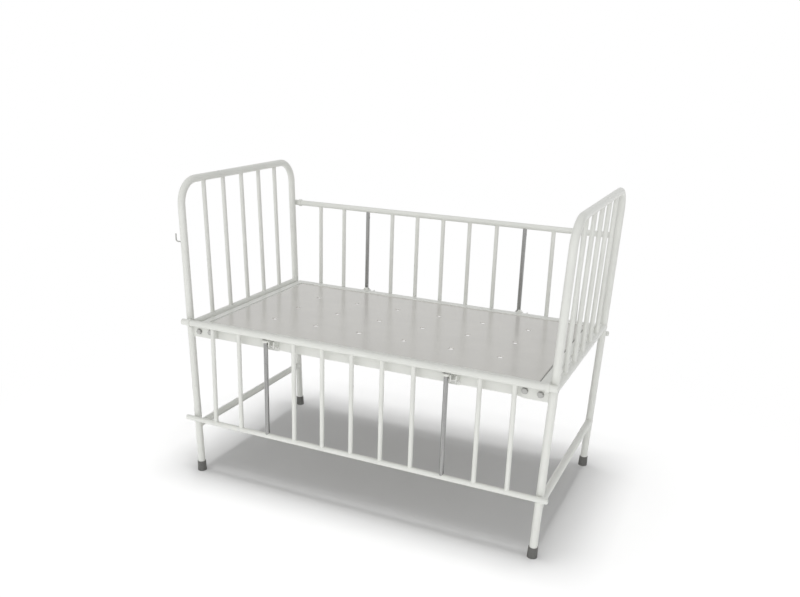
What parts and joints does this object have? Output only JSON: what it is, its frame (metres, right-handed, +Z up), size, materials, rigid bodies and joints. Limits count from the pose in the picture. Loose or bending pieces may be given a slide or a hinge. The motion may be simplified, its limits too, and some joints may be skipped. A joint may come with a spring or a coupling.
{
  "type": "pediatric hospital cot",
  "caption": "Pediatric hospital cot with leaning tube ends, a perforated steel deck and a drop-side railing that slides on guide rods along each long side.",
  "frame": {"origin": "On the floor below the middle of the cot's overall box; the chart hook on the head end's front leg puts the middle of the four shoes 9.0 mm towards the foot from it.", "axes": "+X from the head end to the foot end along the cot's length, +Y to the rear side across its width, +Z up. The lowered railing is on the -Y side."},
  "size_m": [1.4434, 0.831, 1.1271],
  "materials": {
    "frame_enamel": "baked light warm-grey enamel on steel tube and angle, semi-gloss",
    "deck_enamel": "glossy light warm-grey enamel on perforated steel sheet",
    "bright_steel": "drawn bright steel rod, lightly polished along its length",
    "zinc_steel": "zinc-plated steel",
    "rubber": "moulded dark grey rubber, matt",
    "buffer_rubber": "moulded pale grey rubber, matt",
    "bush_nylon": "natural nylon",
    "knob_plastic": "mid grey moulded ball tip"
  },
  "bodies": {
    "bed_frame": {"chart_hook": "zinc_steel", "corner_bolts": "zinc_steel", "corner_nuts": "zinc_steel", "corner_washers": "zinc_steel", "deck_sheet": "deck_enamel", "deck_stiffeners": "frame_enamel", "foot_deck_crossbar": "frame_enamel", "foot_end_angle": "frame_enamel", "foot_end_bars": "frame_enamel", "foot_end_tube": "frame_enamel", "foot_front_shoe": "rubber", "foot_lower_crossbar": "frame_enamel", "foot_rear_shoe": "rubber", "front_foot_corner_plate": "frame_enamel", "front_guide_brackets": "frame_enamel", "front_guide_bushes": "bush_nylon", "front_head_corner_plate": "frame_enamel", "front_rod_buffers": "buffer_rubber", "front_side_rail": "frame_enamel", "head_deck_crossbar": "frame_enamel", "head_end_angle": "frame_enamel", "head_end_bars": "frame_enamel", "head_end_tube": "frame_enamel", "head_front_shoe": "rubber", "head_lower_crossbar": "frame_enamel", "head_rear_shoe": "rubber", "rear_foot_corner_plate": "frame_enamel", "rear_guide_brackets": "frame_enamel", "rear_guide_bushes": "bush_nylon", "rear_head_corner_plate": "frame_enamel", "rear_rod_buffers": "buffer_rubber", "rear_side_rail": "frame_enamel"},
    "front_railing": {"front_top_rail": "frame_enamel", "front_bottom_rail": "frame_enamel", "front_rail_caps": "frame_enamel", "front_railing_bars": "frame_enamel", "front_guide_rods": "bright_steel", "front_rail_collars": "frame_enamel"},
    "rear_railing": {"rear_top_rail": "frame_enamel", "rear_bottom_rail": "frame_enamel", "rear_rail_caps": "frame_enamel", "rear_railing_bars": "frame_enamel", "rear_guide_rods": "bright_steel", "rear_rail_collars": "frame_enamel"},
    "front_head_lock": {"front_head_lock_bolt": "zinc_steel", "front_head_lock_knob": "knob_plastic"},
    "front_foot_lock": {"front_foot_lock_bolt": "zinc_steel", "front_foot_lock_knob": "knob_plastic"},
    "rear_head_lock": {"rear_head_lock_bolt": "zinc_steel", "rear_head_lock_knob": "knob_plastic"},
    "rear_foot_lock": {"rear_foot_lock_bolt": "zinc_steel", "rear_foot_lock_knob": "knob_plastic"}
  },
  "joints": [
    {"name": "front_railing_slide", "type": "slide", "parent": "bed_frame", "child": "front_railing", "axis": [0, 0, 1], "range_m": [0, 0.3297]},
    {"name": "rear_railing_slide", "type": "slide", "parent": "bed_frame", "child": "rear_railing", "axis": [0, 0, 1], "range_m": [-0.3297, 0]},
    {"name": "front_head_lock_slide", "type": "slide", "parent": "bed_frame", "child": "front_head_lock", "axis": [-1, 0, 0], "range_m": [0, 0.007]},
    {"name": "front_foot_lock_slide", "type": "slide", "parent": "bed_frame", "child": "front_foot_lock", "axis": [-1, 0, 0], "range_m": [0, 0.007]},
    {"name": "rear_head_lock_slide", "type": "slide", "parent": "bed_frame", "child": "rear_head_lock", "axis": [-1, 0, 0], "range_m": [0, 0.007]},
    {"name": "rear_foot_lock_slide", "type": "slide", "parent": "bed_frame", "child": "rear_foot_lock", "axis": [-1, 0, 0], "range_m": [0, 0.007]}
  ]
}
